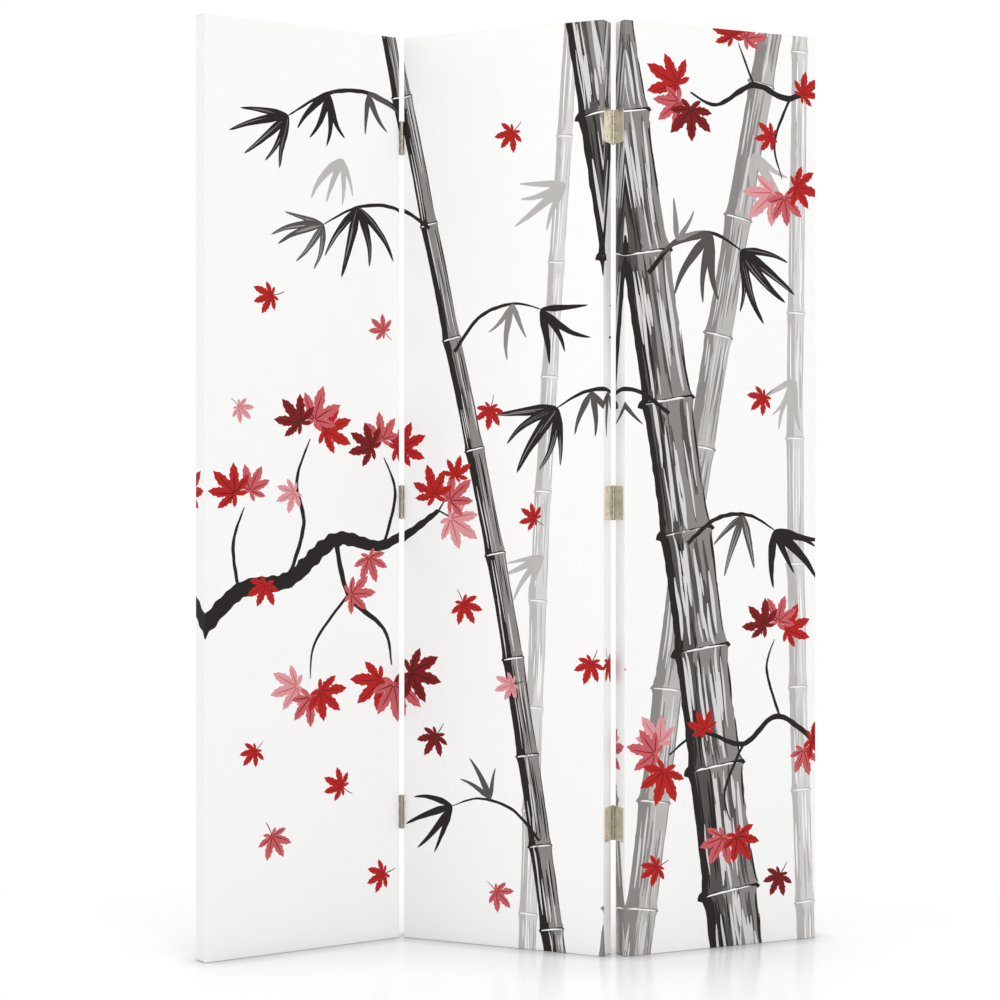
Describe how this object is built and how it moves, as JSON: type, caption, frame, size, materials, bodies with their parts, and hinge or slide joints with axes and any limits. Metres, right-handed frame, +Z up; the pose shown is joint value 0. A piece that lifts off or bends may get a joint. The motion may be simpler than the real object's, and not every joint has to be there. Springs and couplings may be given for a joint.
{
  "type": "folding screen",
  "caption": "Zigzag folding screen of tall stretched canvas panels on wooden frames, hinged edge to edge with brass butt hinges.",
  "frame": {"origin": "on the floor, under the middle of the standing screen's bounding box", "axes": "+Z up; +X along the screen from the left panel to the right, seen from the printed side; the printed faces look towards -Y"},
  "size_m": [1.0084, 0.2364, 1.5],
  "materials": {
    "canvas": "matt primed canvas",
    "frame_pine": "planed, unfinished pine",
    "wedge_wood": "planed, unfinished beech",
    "hinge_brass": "satin brass",
    "hinge_screws": "brass-plated countersunk wood screws",
    "staple_steel": "galvanised staple wire"
  },
  "bodies": {
    "middle_panel": {"middle_panel_canvas": "canvas", "middle_panel_left_stile": "frame_pine", "middle_panel_right_stile": "frame_pine", "middle_panel_top_rail": "frame_pine", "middle_panel_bottom_rail": "frame_pine", "middle_panel_cross_rail": "frame_pine", "middle_panel_corner_wedges": "wedge_wood", "middle_panel_staples": "staple_steel", "upper_left_hinge_middle_leaf": "hinge_brass", "upper_left_hinge_pin": "hinge_brass", "upper_left_hinge_middle_screws": "hinge_screws", "centre_left_hinge_middle_leaf": "hinge_brass", "centre_left_hinge_pin": "hinge_brass", "centre_left_hinge_middle_screws": "hinge_screws", "lower_left_hinge_middle_leaf": "hinge_brass", "lower_left_hinge_pin": "hinge_brass", "lower_left_hinge_middle_screws": "hinge_screws", "upper_right_hinge_middle_leaf": "hinge_brass", "upper_right_hinge_pin": "hinge_brass", "upper_right_hinge_middle_screws": "hinge_screws", "centre_right_hinge_middle_leaf": "hinge_brass", "centre_right_hinge_pin": "hinge_brass", "centre_right_hinge_middle_screws": "hinge_screws", "lower_right_hinge_middle_leaf": "hinge_brass", "lower_right_hinge_pin": "hinge_brass", "lower_right_hinge_middle_screws": "hinge_screws"},
    "left_panel": {"left_panel_canvas": "canvas", "left_panel_left_stile": "frame_pine", "left_panel_right_stile": "frame_pine", "left_panel_top_rail": "frame_pine", "left_panel_bottom_rail": "frame_pine", "left_panel_cross_rail": "frame_pine", "left_panel_corner_wedges": "wedge_wood", "left_panel_staples": "staple_steel", "upper_left_hinge_side_leaf": "hinge_brass", "upper_left_hinge_side_screws": "hinge_screws", "centre_left_hinge_side_leaf": "hinge_brass", "centre_left_hinge_side_screws": "hinge_screws", "lower_left_hinge_side_leaf": "hinge_brass", "lower_left_hinge_side_screws": "hinge_screws"},
    "right_panel": {"right_panel_canvas": "canvas", "right_panel_left_stile": "frame_pine", "right_panel_right_stile": "frame_pine", "right_panel_top_rail": "frame_pine", "right_panel_bottom_rail": "frame_pine", "right_panel_cross_rail": "frame_pine", "right_panel_corner_wedges": "wedge_wood", "right_panel_staples": "staple_steel", "upper_right_hinge_side_leaf": "hinge_brass", "upper_right_hinge_side_screws": "hinge_screws", "centre_right_hinge_side_leaf": "hinge_brass", "centre_right_hinge_side_screws": "hinge_screws", "lower_right_hinge_side_leaf": "hinge_brass", "lower_right_hinge_side_screws": "hinge_screws"}
  },
  "joints": [
    {"name": "left_fold", "type": "hinge", "parent": "middle_panel", "child": "left_panel", "pos_m": [-0.18534, 0.08364, 0.75], "axis": [0, 0, 1], "range_deg": [-59.5, 120.5]},
    {"name": "right_fold", "type": "hinge", "parent": "middle_panel", "child": "right_panel", "pos_m": [0.16182, -0.03411, 0.75], "axis": [0, 0, 1], "range_deg": [-50.5, 129.5]}
  ]
}
